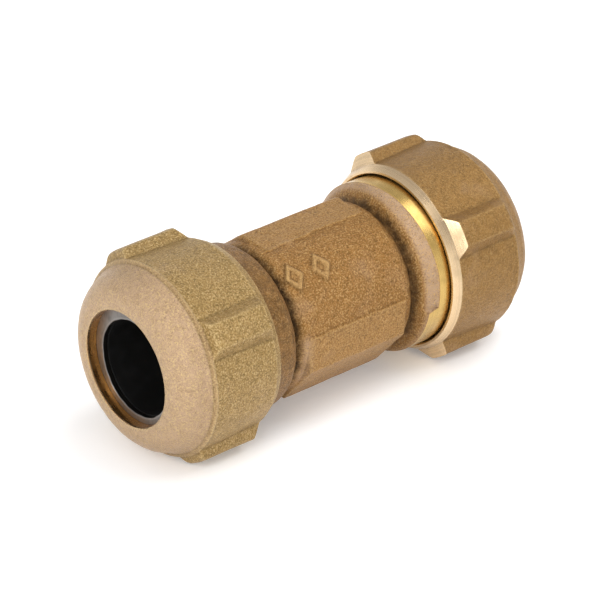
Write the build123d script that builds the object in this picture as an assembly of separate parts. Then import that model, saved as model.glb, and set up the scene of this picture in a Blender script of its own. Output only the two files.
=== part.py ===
from build123d import *
from math import cos, radians, sin
import os

# Cast bronze compression coupling that joins two plain copper tubes of 22 mm outside diameter.
# Frame: X is the axis of the coupling, +X towards the right nut, +Z up, origin half way along the axis.
# Angles about the axis are in degrees from +Y towards +Z. Lengths are in millimetres.
# Each end is drawn as the right end, and the left end is the same end turned half round +Z, so both
# threads stay right-handed.

# Overall
LENGTH = 104.5                 # mouth face to mouth face
NUT_LENGTH = 26.6
BORE_R = 13.7                  # straight bore of the body
TUBE_BORE_R = 11.25            # bore of the rubber gaskets, for a 22.2 mm tube
SEAL_DROP = 0.8                # the loose washer and gasket lie this far below the axis

# Nut
MOUTH_R = 13.7
MOUTH_CHAMFER = 0.3
LIP = 2.7                      # wall in front of the washer
CAVITY_R = 18.4                # room for the washer and the head of the gasket
CAVITY_DEPTH = 7.2             # from the mouth face
RIDGE_R = 23.05                # small turned ridge between the domed nose and the barrel
RIDGE_X = 7.4                  # from the mouth face
RIM_X = 24.65                  # end of the barrel, from the mouth face
RIM_R = 22.5                   # barrel radius at that end
BACK_R = 21.45                 # a turned bevel runs from the rim down to this at the back face
SKIRT_R = 20.65                # plain counterbore that covers the turned land of the body
SKIRT = 6.2
SKIRT_CHAMFER = 0.3

# Spanner lugs of the nut
LUG_COUNT = 4
LUG_PHASE = 56.6
LUG_R = 25.4
LUG_NOSE_X = 7.9               # from the mouth face
LUG_BASE = 11.5                # half angle at the barrel
LUG_CREST = 6.6                # half angle at the crest
LUG_CHAMFER = 1.5              # turned bevel from the rim up to the crest, along the axis
LUG_NOSE_ROUND = 1.4

# Body casting
BARREL_R = 17.9
GROOVE_R = 16.7
CAST_OFFSET = 0.35             # the casting sits this far off the turned axis
CAST_OFFSET_AT = 234.0
PANEL_AT = 137.0               # middle of the plain panel that faces the front
PAD_HALF_LENGTH = 14.2
PAD_EDGE = 38.0                # angles from the middle of the panel
PAD_NEAR = 65.0
PAD_FAR = 109.0
PAD_EDGE_R = 18.25
PAD_NEAR_R = 19.4
PAD_FAR_R = 20.1
PAD_ROUND = 0.9
MARK_AT = 128.0                # plain raised lozenges on the panel
MARK_R = 18.4
MARK_X = (-13.2, -5.4)
MARK_LENGTH = 6.0
MARK_HEIGHT = 8.4

# Turned ends of the body
LAND_R = 20.3
LAND_END = 30.9                # from the middle of the coupling
LAND_START_RIGHT = 19.6
LAND_START_LEFT = 24.9
COLLAR_FULL_RIGHT = 23.4       # the casting reaches its full collar radius here
COLLAR_FULL_LEFT = 25.5
RELIEF_R = 18.6
END_X = 42.75                  # end face of the body
END_CHAMFER = 0.6
MOUTH_CONE_R = 17.4            # the bore opens to this at the end face
CONE_DEPTH = 8.0

# Thread, right-handed
PITCH = 2.0
THREAD_START = 32.9            # middle of the first ridge on the body
BODY_ROOT_R = 18.9
BODY_CREST_R = 20.0
NUT_ROOT_R = 20.25
NUT_CREST_R = 19.15
RIDGE_ROOT = 1.2               # width of a ridge along the axis at its root
RIDGE_CREST = 0.4
BITE = 0.15                    # depth that a ridge reaches into its wall

# Seals
WASHER_R = 17.2
WASHER_HOLE_R = 11.45
WASHER_T = 1.4
WASHER_GAP = 0.06              # between the lip of the nut and the washer
GASKET_R = 17.3
GASKET_HEAD = 2.85             # straight part of the gasket behind the washer
GASKET_TIP_R = 12.5
GASKET_BEVEL = 0.6

# Derived places
MOUTH_X = LENGTH / 2
BACK_X = MOUTH_X - NUT_LENGTH
SKIRT_END_X = BACK_X + SKIRT
CAVITY_X = MOUTH_X - CAVITY_DEPTH
WASHER_X = MOUTH_X - LIP - WASHER_GAP
GASKET_X = WASHER_X - WASHER_T
CONE_SLOPE = (MOUTH_CONE_R - BORE_R) / CONE_DEPTH
GASKET_TIP_X = GASKET_X - GASKET_HEAD - (GASKET_R - GASKET_TIP_R) / CONE_SLOPE


def polar(radius, angle):
    """Y and Z of a point at a radius and an angle about the axis."""
    return (radius * cos(radians(angle)), radius * sin(radians(angle)))


def turned(*edges):
    """Solid swept about the axis by a closed outline of (x, radius) edges."""
    return revolve(make_face(Wire(list(edges))), axis=Axis.X)


def turned_points(*points):
    """Solid swept about the axis by a closed outline of straight runs through (x, radius) points."""
    return revolve(make_face(Polyline(*points, close=True)), axis=Axis.X)


def ring(x0, x1, inner, outer):
    """Plain ring between two places on the axis."""
    return turned_points((x0, inner), (x1, inner), (x1, outer), (x0, outer))


def prism(x0, x1, points):
    """Straight prism along X whose section is a closed outline of (y, z) points."""
    section = Plane.YZ.offset(x0) * make_face(Polyline(*points, close=True))
    return extrude(section, amount=x1 - x0)


def thread_ridge(start_x, end_x, wall_r, crest_r):
    """One helical ridge whose trapezium section stands on a wall radius and points to a crest radius."""
    bite = BITE if crest_r > wall_r else -BITE
    widen = (RIDGE_ROOT - RIDGE_CREST) * BITE / abs(crest_r - wall_r)
    half_root = (RIDGE_ROOT + widen) / 2
    half_crest = RIDGE_CREST / 2
    helix = Helix(pitch=PITCH, height=end_x - start_x, radius=wall_r)
    outline = Polyline(
        (wall_r - bite, -half_root),
        (crest_r, -half_crest),
        (crest_r, half_crest),
        (wall_r - bite, half_root),
        close=True,
    )
    ridge = sweep(Plane.XZ * make_face(outline), path=helix, is_frenet=True)
    return Pos(start_x, 0, 0) * (Rot(0, 90, 0) * ridge)


def left(shape):
    """The right end's piece turned half round +Z, which makes it the left end's."""
    return Rot(0, 0, 180) * shape


def cast_profile(reach):
    """Half outline of the casting from its middle to one end; reach is where its collar is full."""
    barrel_end = (15.2, BARREL_R)
    groove = (17.5, GROOVE_R)
    shoulder = (18.5, 18.4)
    collar = (reach, LAND_R + CAST_OFFSET)
    end = (LAND_END, LAND_R + CAST_OFFSET)
    return [
        Line((0, BARREL_R), barrel_end),
        Spline(barrel_end, groove, tangents=[(1, 0), (1, -0.25)]),
        Spline(groove, shoulder, tangents=[(0.35, 1), (0.6, 1)]),
        Spline(shoulder, collar, tangents=[(1, 0.8), (1, 0.12)]),
        Line(collar, end),
        Line(end, (LAND_END, 0)),
        Line((LAND_END, 0), (0, 0)),
        Line((0, 0), (0, BARREL_R)),
    ]


def pad(side):
    """Raised spanner pad beside the panel; side is 1 below the panel and -1 above it."""
    corners = [
        (PAD_EDGE, BARREL_R - 2),
        (PAD_EDGE, PAD_EDGE_R),
        (PAD_NEAR, PAD_NEAR_R),
        (PAD_FAR, PAD_FAR_R),
        (180 - PAD_EDGE, PAD_EDGE_R),
        (180 - PAD_EDGE, BARREL_R - 2),
    ]
    points = [polar(radius, PANEL_AT + side * angle) for angle, radius in corners]
    block = prism(-PAD_HALF_LENGTH, PAD_HALF_LENGTH, points)
    at = {PAD_NEAR: PAD_NEAR_R, PAD_FAR: PAD_FAR_R}
    tops = [Vector(0, *polar(radius, PANEL_AT + side * angle)) for angle, radius in at.items()]
    long_edges = [e for e in block.edges().filter_by(Axis.X) if any((e.center() - t).length < 0.1 for t in tops)]
    return fillet(long_edges, PAD_ROUND)


def marks():
    """Two plain raised lozenges on the front panel."""
    half = MARK_LENGTH / 2
    rise = MARK_HEIGHT / 2
    facing = Plane(origin=(0, *polar(BARREL_R - 1, MARK_AT)), x_dir=(1, 0, 0), z_dir=(0, *polar(1, MARK_AT)))
    shapes = []
    for x in MARK_X:
        outline = Polyline((x - half, 0), (x, -rise), (x + half, 0), (x, rise), close=True)
        shapes.append(extrude(facing * make_face(outline), amount=MARK_R - BARREL_R + 1))
    return shapes


def turned_end():
    """Relief, threaded end and end chamfer of the body, on the right."""
    core = turned_points(
        (LAND_END - 1, 0),
        (LAND_END - 1, RELIEF_R),
        (THREAD_START - RIDGE_ROOT / 2, RELIEF_R),
        (THREAD_START - RIDGE_ROOT / 2, BODY_ROOT_R),
        (END_X - END_CHAMFER, BODY_ROOT_R),
        (END_X, BODY_ROOT_R - END_CHAMFER),
        (END_X, 0),
    )
    ridge = thread_ridge(THREAD_START, END_X - RIDGE_ROOT, BODY_ROOT_R, BODY_CREST_R)
    return core + ridge


def mouth_cone():
    """Cone that opens the bore of the body towards its right end."""
    past = 1
    return turned_points(
        (END_X - CONE_DEPTH, 0),
        (END_X - CONE_DEPTH, BORE_R),
        (END_X + past, MOUTH_CONE_R + past * CONE_SLOPE),
        (END_X + past, 0),
    )


def make_body():
    """Cast barrel with two spanner pads, turned lands, threads and a straight bore."""
    casting = turned(*cast_profile(COLLAR_FULL_RIGHT))
    casting += left(turned(*cast_profile(COLLAR_FULL_LEFT)))
    for side in (1, -1):
        casting += pad(side)
    for shape in marks():
        casting += shape
    casting = Pos(0, *polar(CAST_OFFSET, CAST_OFFSET_AT)) * casting
    casting -= ring(LAND_START_RIGHT, LAND_END + 1, LAND_R, LAND_R + 3)
    casting -= left(ring(LAND_START_LEFT, LAND_END + 1, LAND_R, LAND_R + 3))
    end = turned_end()
    body = casting + end + left(end)
    body -= Rot(0, 90, 0) * Cylinder(BORE_R, LENGTH)
    body -= mouth_cone()
    body -= left(mouth_cone())
    return body


def nut_blank():
    """Outside of the nut without lugs: flat mouth face, domed nose, ridge, tapered barrel and bevelled back."""
    flat = (MOUTH_X, 15.6)
    shoulder = (MOUTH_X - 4.0, 20.9)
    nose = (MOUTH_X - RIDGE_X + 0.5, 22.2)
    ridge = (MOUTH_X - RIDGE_X, RIDGE_R)
    rim = (MOUTH_X - RIM_X, RIM_R)
    back = (BACK_X, BACK_R)
    return turned(
        Line((MOUTH_X, 0), flat),
        ThreePointArc(flat, (MOUTH_X - 1.35, 18.75), shoulder),
        ThreePointArc(shoulder, (MOUTH_X - 5.5, 21.45), nose),
        Line(nose, ridge),
        Line(ridge, rim),
        Line(rim, back),
        Line(back, (BACK_X, 0)),
        Line((BACK_X, 0), (MOUTH_X, 0)),
    )


def lugs(phase):
    """Four spanner lugs from a phase angle: wedges with flat crests, a rounded nose, a bevelled back end."""
    nose_x = MOUTH_X - LUG_NOSE_X
    rim_x = MOUTH_X - RIM_X
    inner = RIM_R - 1.5
    envelope = turned(
        Line((rim_x, 0), (rim_x, RIM_R)),
        Line((rim_x, RIM_R), (rim_x + LUG_CHAMFER, LUG_R)),
        Line((rim_x + LUG_CHAMFER, LUG_R), (nose_x - LUG_NOSE_ROUND, LUG_R)),
        RadiusArc((nose_x - LUG_NOSE_ROUND, LUG_R), (nose_x, LUG_R - LUG_NOSE_ROUND), LUG_NOSE_ROUND),
        Line((nose_x, LUG_R - LUG_NOSE_ROUND), (nose_x, 0)),
        Line((nose_x, 0), (rim_x, 0)),
    )
    shapes = []
    for index in range(LUG_COUNT):
        middle = phase + index * 360 / LUG_COUNT
        points = [
            polar(inner, middle - LUG_BASE),
            polar(RIDGE_R, middle - LUG_BASE),
            polar(LUG_R + 0.02, middle - LUG_CREST),
            polar(LUG_R * 1.007 + 0.1, middle),
            polar(LUG_R + 0.02, middle + LUG_CREST),
            polar(RIDGE_R, middle + LUG_BASE),
            polar(inner, middle + LUG_BASE),
        ]
        shapes.append(prism(rim_x, nose_x, points) & envelope)
    return shapes


def nut_inside():
    """Room inside the nut: mouth, washer cavity, thread wall and plain skirt with its chamfer."""
    past = 1
    return turned_points(
        (MOUTH_X + past, 0),
        (MOUTH_X + past, MOUTH_R + MOUTH_CHAMFER + past),
        (MOUTH_X - MOUTH_CHAMFER, MOUTH_R),
        (MOUTH_X - LIP, MOUTH_R),
        (MOUTH_X - LIP, CAVITY_R),
        (CAVITY_X, CAVITY_R),
        (CAVITY_X - 1, NUT_ROOT_R),
        (SKIRT_END_X, NUT_ROOT_R),
        (SKIRT_END_X - 0.4, SKIRT_R),
        (BACK_X + SKIRT_CHAMFER, SKIRT_R),
        (BACK_X - past, SKIRT_R + SKIRT_CHAMFER + past),
        (BACK_X - past, 0),
    )


def make_nut(phase):
    """Right nut: domed nose, four lugs and an internal thread half a pitch out of step with the body's."""
    nut = nut_blank()
    for lug in lugs(phase):
        nut += lug
    nut -= nut_inside()
    start = THREAD_START + PITCH / 2
    nut += thread_ridge(start, CAVITY_X - 1.6, NUT_ROOT_R, NUT_CREST_R)
    return nut


def make_washer():
    """Flat steel washer that lies against the lip of the right nut."""
    return Pos(0, 0, -SEAL_DROP) * ring(GASKET_X, WASHER_X, WASHER_HOLE_R, WASHER_R)


def make_gasket():
    """Rubber gasket behind the right washer: straight head, tapered tail and a straight bore."""
    shape = turned_points(
        (GASKET_X, TUBE_BORE_R),
        (GASKET_X, GASKET_R - GASKET_BEVEL),
        (GASKET_X - GASKET_BEVEL, GASKET_R),
        (GASKET_X - GASKET_HEAD, GASKET_R),
        (GASKET_TIP_X, GASKET_TIP_R),
        (GASKET_TIP_X, TUBE_BORE_R),
    )
    return Pos(0, 0, -SEAL_DROP) * shape


def main():
    os.makedirs("parts", exist_ok=True)
    export_step(make_body(), "parts/coupling_body.step")
    export_step(make_nut(LUG_PHASE), "parts/right_compression_nut.step")
    export_step(left(make_nut(180 - LUG_PHASE)), "parts/left_compression_nut.step")
    for name, make in {"friction_washer": make_washer, "gasket": make_gasket}.items():
        piece = make()
        export_step(piece, f"parts/right_{name}.step")
        export_step(left(piece), f"parts/left_{name}.step")


main()
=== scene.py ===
import math

import bpy
import numpy as np
from bpy.props import FloatProperty, FloatVectorProperty, PointerProperty
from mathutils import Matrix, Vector


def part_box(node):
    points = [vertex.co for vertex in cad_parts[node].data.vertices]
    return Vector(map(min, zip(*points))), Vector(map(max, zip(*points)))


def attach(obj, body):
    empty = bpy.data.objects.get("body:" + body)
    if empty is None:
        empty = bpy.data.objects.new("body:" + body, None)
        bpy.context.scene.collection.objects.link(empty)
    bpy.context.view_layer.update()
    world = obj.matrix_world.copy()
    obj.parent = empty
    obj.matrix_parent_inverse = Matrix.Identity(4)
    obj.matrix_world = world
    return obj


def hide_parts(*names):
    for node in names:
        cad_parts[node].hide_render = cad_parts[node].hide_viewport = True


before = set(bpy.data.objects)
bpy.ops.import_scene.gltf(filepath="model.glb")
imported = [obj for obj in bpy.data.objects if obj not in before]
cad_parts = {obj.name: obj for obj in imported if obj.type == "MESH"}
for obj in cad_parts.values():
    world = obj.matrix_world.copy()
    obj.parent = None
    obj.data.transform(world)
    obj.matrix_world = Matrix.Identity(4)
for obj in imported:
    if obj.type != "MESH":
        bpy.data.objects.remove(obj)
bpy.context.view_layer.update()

bl_info = {
    "name": "Compression Coupling",
    "version": (1, 0, 0),
    "blender": (4, 5, 0),
    "location": "3D View > Sidebar > Coupling",
    "description": "Builds the cast bronze compression coupling round its fixed frame",
    "category": "Add Mesh",
}

# Shapes are worked out in millimetres with X along the coupling and angles in degrees from +Y towards +Z.
# Everything is drawn for the right end, and the left end is the same end turned half round +Z.
MM = 0.001
NUT_LOW, NUT_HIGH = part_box("right_compression_nut")
BODY_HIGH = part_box("coupling_body")[1]
WASHER_LOW, WASHER_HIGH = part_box("right_friction_washer")
GASKET_LOW, GASKET_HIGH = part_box("right_gasket")

MOUTH_X = NUT_HIGH.x / MM          # mouth face of the right nut
BACK_X = NUT_LOW.x / MM            # back face of the right nut
END_X = BODY_HIGH.x / MM           # end face of the body
FLOOR_Z = NUT_LOW.z                # the coupling stands on the ridges of its nuts, in metres
SEAL_DROP = -(WASHER_HIGH.z + WASHER_LOW.z) / 2 / MM

# Nut
MOUTH_R = 13.7
MOUTH_CHAMFER = 0.3
FACE_R = 15.6                      # flat ring round the mouth, where the dome begins
DOME = ((0.0, FACE_R), (1.35, 18.75), (4.0, 20.9))    # depth from the mouth face, and radius
DOME_FOOT = ((4.0, 20.9), (5.5, 21.45), (6.9, 22.2))
CAVITY_R = 18.4
CAVITY_DEPTH = 7.2
LIP = 2.7
RIM_DEPTH = 24.65                  # end of the barrel, where the turned bevel begins
RIM_R = 22.5
BACK_R = 21.45
LUG_BEVEL = 1.5
SKIRT_R = 20.65
SKIRT_CHAMFER = 0.3
SKIRT_END_X = 31.85
RIDGE_DEPTH = 7.4
LUG_COUNT = 4
LUG_BASE = 11.5                    # half angles of a lug at its foot and at its crest
LUG_CREST = 6.6
LUG_R = 25.4
LUG_NOSE = ((7.45, 22.6), (7.95, 23.9), (8.3, 24.7), (8.75, 25.15), (9.4, 25.4), (10.4, 25.45))
FILLET = 0.3                       # where the flank of a lug meets the barrel

# Body
BARREL_R = 17.9
CAST_PROFILE = (                   # distance from the middle, and radius of the casting without its pads
    (0, BARREL_R), (15.0, BARREL_R), (15.9, 17.62), (16.8, 16.95), (17.35, 16.35), (17.75, 16.45),
    (18.15, 17.5), (18.6, 18.35), (19.3, 18.9), (20.3, 19.5), (23.9, 20.25), (25.5, 20.65), (40, 20.65),
)
SHOULDER_X, SHOULDER_R = 18.6, 18.35
CAST_OFFSET = 0.35
CAST_OFFSET_AT = 234.0
PANEL_AT = 137.0
PAD_HALF_LENGTH = 14.2
PAD_CORNERS = ((38.0, 18.25), (65.0, 19.4), (109.0, 20.1), (142.0, 18.25))
DENTS = (                          # x and its spread, angle and its spread, and depth
    (-11.5, 2.6, 98.0, 5.5, 0.34), (-5.0, 2.2, 97.0, 3.2, 0.272),
)
CRACK_X, CRACK_DEPTH = 12.1, 0.2
MARK_AT = 128.0
MARK_X = (-13.2, -5.4)
MARK_LENGTH = 6.0
MARK_HEIGHT = 8.4
MARK_R = 18.9
MARK_RISE = 0.6
LAND_R = 20.3
LAND_END = 30.9
LAND_START_LEFT = 24.9
LAND_EDGE = (                      # angle round the axis and where the right land begins there
    (0, 20.6), (60, 20.6), (80, 21.0), (106, 21.8), (130, 22.3), (165, 22.9), (188.2, 22.6), (190.2, 19.9),
    (214, 19.65), (290, 19.65), (320, 20.4), (360, 20.6),
)
RELIEF_R = 18.6
BORE_R = 13.7
MOUTH_CONE_R = 17.4
CONE_DEPTH = 8.0

# Thread
PITCH = 2.0
THREAD_START = 32.9
BODY_ROOT_R = 18.9
BODY_CREST_R = 20.0
NUT_ROOT_R = 20.25
NUT_CREST_R = 19.15
RIDGE_ROOT = 1.2
RIDGE_CREST = 0.4

SHELL_ROWS = 62                    # rows of a nut from its ridge to its back bevel
NUT_COLUMNS = 476
BODY_COLUMNS = 292
BODY_THREAD_ROWS = 48
RING_COLUMNS = 360
CAST, TURNED = 0, 1                # places of the two finishes in a piece's material list
CASTING, THREAD, LATHE = 0, 1, 2   # kinds of rows on the body


# ---------------------------------------------------------------- shapes

def unit(angle):
    """Cosine and sine of an angle in degrees."""
    return np.cos(np.radians(angle)), np.sin(np.radians(angle))


def smooth_step(value, low, high):
    """Rises from 0 at low to 1 at high along 3t squared minus 2t cubed."""
    t = np.clip((value - low) / (high - low), 0, 1)
    return t * t * (3 - 2 * t)


def soft_max(a, b, blend):
    """The larger of two heights, with a fillet where they cross: half of a, b and the root of their
    difference squared and the blend squared, all added."""
    return 0.5 * (a + b + np.sqrt((a - b) ** 2 + blend * blend))


def soft_min(a, b, blend):
    """The smaller of two heights, with a round where they cross."""
    return -soft_max(-a, -b, blend)


def straight(start, end, count):
    """Points on a straight run from start towards end, without the end itself."""
    t = np.linspace(0, 1, count, endpoint=False)[:, None]
    return np.array(start) * (1 - t) + np.array(end) * t


def runs(*stops):
    """Points on straight runs through stops (x, radius, count). Each stop gives count points on the way to the
    next, and the last has no count."""
    return np.concatenate([straight(a[:2], b[:2], a[2]) for a, b in zip(stops, stops[1:])])


def bow(start, via, end, count):
    """Points on the circle arc from start through via towards end: centre where the chords' mid-normals
    meet."""
    a, b, c = (complex(*p) for p in (start, via, end))
    w = (c - a) / (b - a)
    centre = (b - a) * (w - abs(w) ** 2) / (2j * w.imag) + a
    first, middle, last = (np.angle(p - centre) for p in (a, b, c))
    turn = (last - first) % (2 * math.pi)
    if (middle - first) % (2 * math.pi) > turn:
        turn -= 2 * math.pi
    way = first + turn * np.linspace(0, 1, count, endpoint=False)
    arc = centre + abs(a - centre) * np.exp(1j * way)
    return np.stack([arc.real, arc.imag], axis=1)


def angles(count, centres, half_width, extra):
    """Angles round the axis, closer together within half_width of each centre by the factor 1 + extra. They
    are read back from the running sum of that density."""
    fine = np.linspace(0, 360, 7201)
    away = np.abs((fine[:, None] - np.array(centres)[None, :] + 180) % 360 - 180).min(axis=1)
    density = 1 + extra * smooth_step(-away, -1.6 * half_width, -half_width)
    total = np.concatenate([[0], np.cumsum((density[1:] + density[:-1]) / 2)])
    return np.interp(np.linspace(0, total[-1], count, endpoint=False), total, fine)


def lattice_noise(points, cell, seed):
    """Smooth noise from -1 to 1: each corner of a cubic lattice gets a value from a whole-number hash of
    its place, and a point takes the cubic-eased mean of the eight corners round it."""
    scaled = points / cell + 1000.0
    base = np.floor(scaled).astype(np.int64)
    part = scaled - base
    ease = part * part * (3 - 2 * part)
    total = np.zeros(points.shape[:-1])
    for corner in range(8):
        step = np.array([corner & 1, corner >> 1 & 1, corner >> 2 & 1])
        place = base + step
        value = (place * np.array([374761393, 668265263, 951274213])).sum(axis=-1) + seed * 362437
        value = value & 0xFFFFFFFF
        value = ((value ^ (value >> 13)) * 1274126177) & 0xFFFFFFFF
        value = (value ^ (value >> 16)) & 0xFFFF
        weight = np.prod(np.where(step == 1, ease, 1 - ease), axis=-1)
        total += weight * (value / 32767.5 - 1)
    return total


def grid_normals(points):
    """Outward normals of a grid closed both ways: the cross product of its central differences."""
    along = np.roll(points, -1, 0) - np.roll(points, 1, 0)
    around = np.roll(points, -1, 1) - np.roll(points, 1, 1)
    normal = np.cross(along, around)
    return normal / np.maximum(np.linalg.norm(normal, axis=2, keepdims=True), 1e-12)


def curvature(points):
    """How sharply a closed grid bends at each point, per millimetre, above 0 on convex edges. In each
    direction it is the change of the unit chord divided by the mean chord, read along the normal."""
    normal = grid_normals(points)
    bend = np.zeros(points.shape[:2])
    for axis in (0, 1):
        ahead = np.roll(points, -1, axis) - points
        behind = points - np.roll(points, 1, axis)
        long_a = np.maximum(np.linalg.norm(ahead, axis=2, keepdims=True), 1e-3)
        long_b = np.maximum(np.linalg.norm(behind, axis=2, keepdims=True), 1e-3)
        change = 2 * (ahead / long_a - behind / long_b) / np.maximum(long_a + long_b, 0.3)
        bend -= (change * normal).sum(axis=2)
    for axis in (0, 1):
        bend = 0.5 * bend + 0.25 * (np.roll(bend, 1, axis) + np.roll(bend, -1, axis))
    return bend


def roughen(points, where, amount, seed):
    """Sand-cast unevenness: points sink along their normals by a mix of three sizes of lattice noise, never
    out."""
    swell = lattice_noise(points, 5.2, seed) * 0.42
    ripple = lattice_noise(points, 1.9, seed + 1) * 0.34
    lump = lattice_noise(points, 0.85, seed + 2) * 0.24
    depth = amount * (0.5 + 0.5 * (swell + ripple + lump))
    return points - grid_normals(points) * (depth * where)[..., None]


def thread_height(x, angle, start, end):
    """Height from 0 to 1 of a right-handed trapezium ridge: its middle moves one pitch along X per
    turn, and the height falls straight from the crest's edge to the root's edge. It runs out softly at
    both ends."""
    turn = ((angle + 90) % 360) / 360
    middle = start + PITCH * (np.round((x - start) / PITCH - turn) + turn)
    away = np.abs(x - middle)
    height = np.clip((RIDGE_ROOT / 2 - away) / ((RIDGE_ROOT - RIDGE_CREST) / 2), 0, 1)
    run_in = smooth_step(middle, start - 0.01, start + 0.3)
    run_out = 1 - smooth_step(middle, end - 0.3, end + 0.01)
    return height * run_in * run_out


def closed_grid(name, points, finish, materials, marks=None, sharp=32.0):
    """Mesh from a grid of millimetre points (rows, columns, 3) that closes both ways. Each cell is one
    face, from point (i, j) on to (i + 1, j), (i + 1, j + 1) and (i, j + 1). Attributes tell the materials
    where the edges are and where the surface bends in, which they darken as painted shade."""
    rows, columns = points.shape[:2]
    index = np.arange(rows * columns).reshape(rows, columns)
    down = np.roll(index, -1, 0)
    faces = np.stack([index, down, np.roll(down, -1, 1), np.roll(index, -1, 1)], axis=2).reshape(-1, 4)
    mesh = bpy.data.meshes.new(name)
    mesh.vertices.add(rows * columns)
    mesh.vertices.foreach_set("co", (points.reshape(-1, 3) * MM).astype(np.float32).ravel())
    mesh.loops.add(faces.size)
    mesh.loops.foreach_set("vertex_index", faces.ravel().astype(np.int32))
    mesh.polygons.add(len(faces))
    mesh.polygons.foreach_set("loop_start", np.arange(0, faces.size, 4, dtype=np.int32))
    for material in materials:
        mesh.materials.append(material)
    finish = np.broadcast_to(finish, (rows, columns))
    mesh.polygons.foreach_set("material_index", finish.astype(np.int32).ravel())
    mesh.polygons.foreach_set("use_smooth", np.ones(len(faces), bool))
    bend = curvature(points)
    # The mask of where the surface bends in carries painted shade: the materials darken those creases.
    marks = {"edge": smooth_step(bend, 0.25, 1.5), "hollow": smooth_step(-bend, 0.15, 1.1), **(marks or {})}
    for attribute, value in marks.items():
        layer = mesh.attributes.new(attribute, "FLOAT", "POINT")
        layer.data.foreach_set("value", np.broadcast_to(value, (rows, columns)).astype(np.float32).ravel())
    mesh.update(calc_edges=True)
    mesh.set_sharp_from_angle(angle=math.radians(sharp))
    if mesh.validate(verbose=False):
        raise RuntimeError(f"{name}: the grid made a broken mesh")
    piece = bpy.data.objects.new(name, mesh)
    bpy.context.scene.collection.objects.link(piece)
    return piece


def to_side(points, side):
    """Right-end points as they are, or turned half round +Z for the left end."""
    return points if side == "right" else points * np.array([-1.0, -1.0, 1.0])


def swept(profile, angle):
    """A closed (x, radius) outline carried round the X axis: y is radius times cosine, z is radius times
    sine."""
    c, s = unit(angle)
    x = np.repeat(profile[:, :1], len(angle), axis=1)
    return np.stack([x, profile[:, 1:] * c, profile[:, 1:] * s], axis=2)


# ---------------------------------------------------------------- compression nuts

def nut_outside(depth, angle, phase, sizes):
    """Radius of the nut behind its ridge at a depth from the mouth. The barrel tapers from the ridge to the
    back and flattens a little towards the foot of each next lug. A lug is a flat crest with straight
    flanks, cut by a round nose, and joins the barrel with a fillet."""
    ridge_r = sizes.ridge_radius / MM
    lug_r = sizes.lug_radius / MM
    behind = smooth_step(depth, RIDGE_DEPTH, RIDGE_DEPTH + 3.0)
    turn = ((angle - phase - LUG_BASE) % (360 / LUG_COUNT)) / (360 / LUG_COUNT - 2 * LUG_BASE)
    flat = sizes.flattening / MM * behind * np.clip(turn, 0, 1) ** 2 * (1 - smooth_step(turn, 1.0, 1.12))
    taper = (depth - RIDGE_DEPTH) / (RIM_DEPTH - RIDGE_DEPTH)
    barrel = ridge_r + (RIM_R - ridge_r) * taper - flat
    away = np.abs((angle - phase + 180 / LUG_COUNT) % (360 / LUG_COUNT) - 180 / LUG_COUNT)
    past = soft_max(away - LUG_CREST, 0.0, 0.7)
    lug = lug_r - past * (lug_r - ridge_r) / (LUG_BASE - LUG_CREST)
    nose = np.interp(depth, *np.array(LUG_NOSE).T)
    lug = soft_min(lug, nose * lug_r / LUG_R, 0.25)
    return soft_max(barrel, lug, FILLET) - FILLET / 4 * (1 - behind)


def back_bevel(depth, lug_r):
    """Radius left by the turning tool at the back: a steep cone over the lugs' ends down to the rim, and a
    flatter cone from the rim to the back face."""
    slope = (lug_r - RIM_R) / LUG_BEVEL
    cone = RIM_R + (RIM_DEPTH - depth) * slope
    flatter = np.interp(depth, [RIM_DEPTH, MOUTH_X - BACK_X], [RIM_R, BACK_R])
    return np.where(depth < RIM_DEPTH, cone, flatter)


def nut_shell(phase, sizes):
    """Rows behind the ridge for every angle. Each column's outline runs to where the back bevel cuts it and
    is stepped off evenly by its own length, so the walls of the lugs get as many points as the flats. Then
    it follows the bevel to the rim and on to the back face."""
    lug_r = sizes.lug_radius / MM
    fine = np.linspace(RIDGE_DEPTH, MOUTH_X - BACK_X, 1600)
    angle = angles(NUT_COLUMNS, [phase + 360 / LUG_COUNT * k for k in range(LUG_COUNT)], LUG_BASE + 1, 1.0)
    radius = nut_outside(fine[:, None], angle[None, :], phase, sizes)
    radius[0] = sizes.ridge_radius / MM
    above = radius > back_bevel(fine, lug_r)[:, None]
    cut = above.argmax(axis=0)
    lug_rows, rim_rows = 4, 5
    depth = np.empty((SHELL_ROWS + lug_rows + rim_rows, len(angle)))
    chords = np.hypot(np.diff(radius, axis=0), np.diff(fine)[:, None])
    length = np.concatenate([np.zeros((1, len(angle))), np.cumsum(chords, axis=0)])
    height = np.empty_like(depth)
    for j, k in enumerate(cut):
        wanted = np.linspace(0, length[k, j], SHELL_ROWS + 1)[:-1]
        depth[:SHELL_ROWS, j] = np.interp(wanted, length[: k + 1, j], fine[: k + 1])
        height[:SHELL_ROWS, j] = np.interp(wanted, length[: k + 1, j], radius[: k + 1, j])
    start = fine[cut]
    rim = np.maximum(start + 0.06, RIM_DEPTH)
    steps = np.linspace(0, 1, lug_rows, endpoint=False)[:, None]
    depth[SHELL_ROWS:SHELL_ROWS + lug_rows] = start + (rim - start) * steps
    steps = np.linspace(0, 1, rim_rows)[:, None]
    depth[SHELL_ROWS + lug_rows:] = rim + (fine[-1] - rim) * steps
    height[SHELL_ROWS:] = back_bevel(depth[SHELL_ROWS:], lug_r)
    return angle, depth, height


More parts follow.
